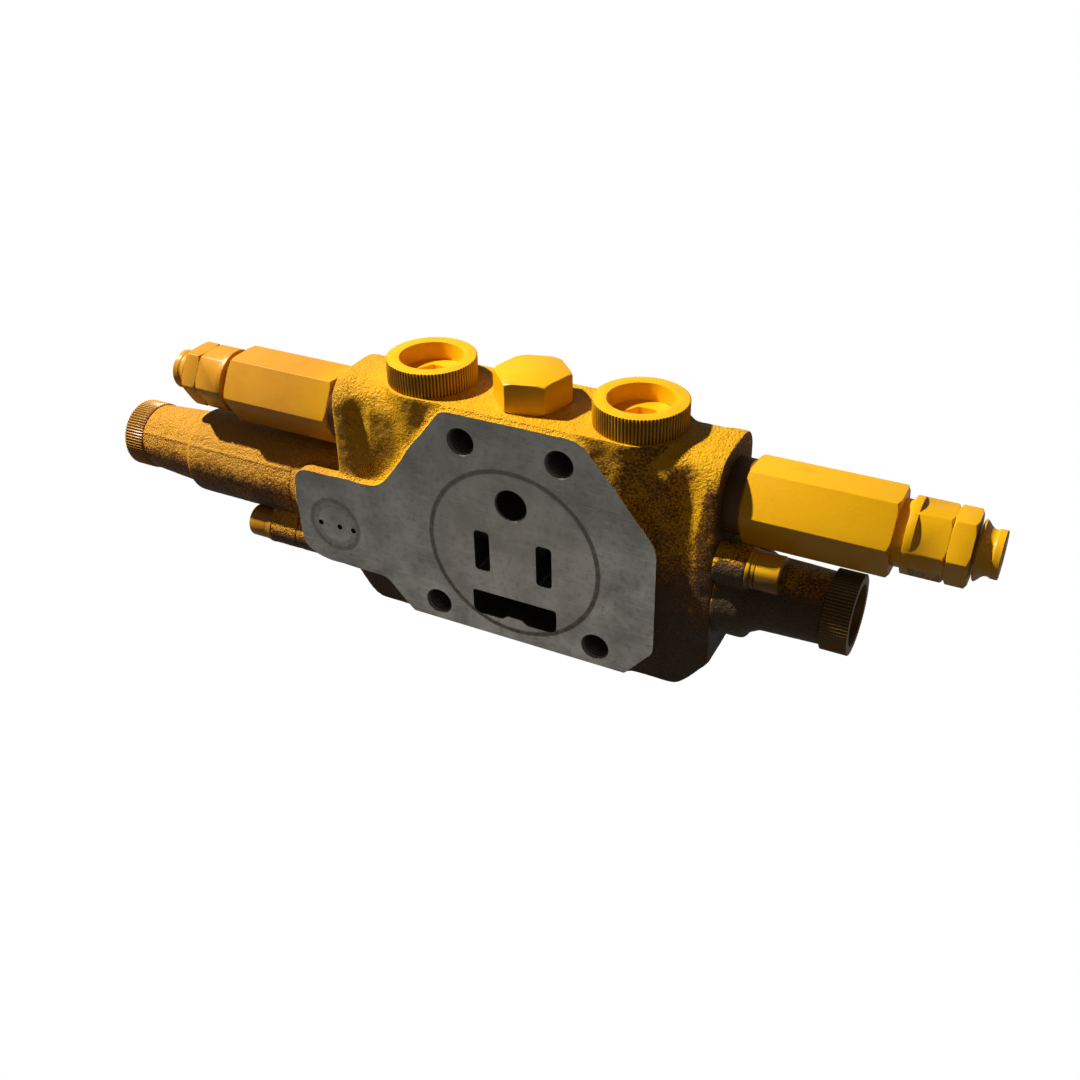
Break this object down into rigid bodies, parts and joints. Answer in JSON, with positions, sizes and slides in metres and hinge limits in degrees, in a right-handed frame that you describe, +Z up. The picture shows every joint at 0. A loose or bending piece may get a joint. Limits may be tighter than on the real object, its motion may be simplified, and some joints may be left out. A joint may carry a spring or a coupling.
{
  "type": "hydraulic valve section",
  "caption": "Stackable spool valve section with knurled port plugs, a check valve under a hexagon plug and two long hexagonal relief valves.",
  "frame": {"origin": "centre of the large round seal mark on the machined front face", "axes": "+X along the spool to the right as seen from the front face, +Y into the body, +Z up towards the port plugs"},
  "size_m": [0.4266, 0.0492, 0.1266],
  "materials": {
    "painted_casting": "orange-yellow paint over rough sand-cast iron, machined face bare",
    "painted_cap": "orange-yellow paint over rough sand-cast iron",
    "painted_steel": "orange-yellow paint over turned and milled steel",
    "bright_steel": "ground and hardened steel",
    "spring_steel": "oiled spring wire",
    "seal_rubber": "black nitrile rubber"
  },
  "bodies": {
    "body": {"valve_body": "painted_casting", "spring_cap": "painted_cap", "pilot_cap": "painted_cap", "cap_seals": "seal_rubber", "cap_screws": "painted_steel", "flat_washers": "painted_steel", "spring_washers": "painted_steel", "port_plug_a": "painted_steel", "port_plug_b": "painted_steel", "pilot_plug_left": "painted_steel", "pilot_plug_right": "painted_steel", "port_plug_seals": "seal_rubber", "pilot_plug_seals": "seal_rubber", "check_plug": "painted_steel", "check_plug_seal": "seal_rubber", "check_spring": "spring_steel", "left_relief_housing": "painted_steel", "left_relief_sleeve": "bright_steel", "left_pilot_seat": "bright_steel", "left_adjuster_body": "painted_steel", "left_relief_seals": "seal_rubber", "right_relief_housing": "painted_steel", "right_relief_sleeve": "bright_steel", "right_pilot_seat": "bright_steel", "right_adjuster_body": "painted_steel", "right_relief_seals": "seal_rubber"},
    "spool": {"spool": "bright_steel", "spool_stud": "bright_steel", "inner_spring_seat": "bright_steel", "outer_spring_seat": "bright_steel", "centring_spring": "spring_steel"},
    "check_poppet": {"check_poppet": "bright_steel"},
    "left_main_poppet": {"left_relief_poppet": "bright_steel", "left_relief_spring": "spring_steel"},
    "left_pilot_poppet": {"left_pilot_poppet": "bright_steel", "left_pilot_spring": "spring_steel"},
    "left_adjuster_seat": {"left_spring_seat": "bright_steel"},
    "left_adjusting_screw": {"left_adjusting_screw": "painted_steel"},
    "left_lock_nut": {"left_lock_nut": "painted_steel"},
    "right_main_poppet": {"right_relief_poppet": "bright_steel", "right_relief_spring": "spring_steel"},
    "right_pilot_poppet": {"right_pilot_poppet": "bright_steel", "right_pilot_spring": "spring_steel"},
    "right_adjuster_seat": {"right_spring_seat": "bright_steel"},
    "right_adjusting_screw": {"right_adjusting_screw": "painted_steel"},
    "right_lock_nut": {"right_lock_nut": "painted_steel"}
  },
  "joints": [
    {"name": "spool_slide", "type": "slide", "parent": "body", "child": "spool", "axis": [1, 0, 0], "range_m": [-0.007, 0.007], "stiffness_N_per_m": 12000},
    {"name": "check_lift", "type": "slide", "parent": "body", "child": "check_poppet", "axis": [0, 0, 1], "range_m": [0, 0.005], "stiffness_N_per_m": 600, "springref_m": -0.003, "deforming": ["check_spring"]},
    {"name": "left_main_poppet_lift", "type": "slide", "parent": "body", "child": "left_main_poppet", "axis": [-1, 0, 0], "range_m": [0, 0.003], "stiffness_N_per_m": 2000, "springref_m": -0.003},
    {"name": "left_pilot_poppet_lift", "type": "slide", "parent": "body", "child": "left_pilot_poppet", "axis": [-1, 0, 0], "range_m": [0, 0.0015], "stiffness_N_per_m": 4000, "springref_m": -0.003},
    {"name": "left_adjuster_slide", "type": "slide", "parent": "body", "child": "left_adjuster_seat", "axis": [-1, 0, 0], "range_m": [0, 0.003]},
    {"name": "left_adjuster_turn", "type": "hinge", "parent": "left_adjuster_seat", "child": "left_adjusting_screw", "pos_m": [-0.15, 0.023, 0.0423], "axis": [-1, 0, 0], "range_deg": [0, 720]},
    {"name": "left_lock_nut_turn", "type": "hinge", "parent": "body", "child": "left_lock_nut", "pos_m": [-0.18, 0.023, 0.0423], "axis": [-1, 0, 0], "range_deg": [0, 120]},
    {"name": "right_main_poppet_lift", "type": "slide", "parent": "body", "child": "right_main_poppet", "axis": [1, 0, 0], "range_m": [0, 0.003], "stiffness_N_per_m": 2000, "springref_m": -0.003},
    {"name": "right_pilot_poppet_lift", "type": "slide", "parent": "body", "child": "right_pilot_poppet", "axis": [1, 0, 0], "range_m": [0, 0.0015], "stiffness_N_per_m": 4000, "springref_m": -0.003},
    {"name": "right_adjuster_slide", "type": "slide", "parent": "body", "child": "right_adjuster_seat", "axis": [1, 0, 0], "range_m": [0, 0.003]},
    {"name": "right_adjuster_turn", "type": "hinge", "parent": "right_adjuster_seat", "child": "right_adjusting_screw", "pos_m": [0.15, 0.023, 0.0423], "axis": [1, 0, 0], "range_deg": [0, 720]},
    {"name": "right_lock_nut_turn", "type": "hinge", "parent": "body", "child": "right_lock_nut", "pos_m": [0.18, 0.023, 0.0423], "axis": [1, 0, 0], "range_deg": [0, 120]}
  ],
  "couplings": [
    {"joint": "left_adjuster_turn", "follows": "left_adjuster_slide", "rad_per_m": 4188.8},
    {"joint": "right_adjuster_turn", "follows": "right_adjuster_slide", "rad_per_m": 4188.8}
  ]
}
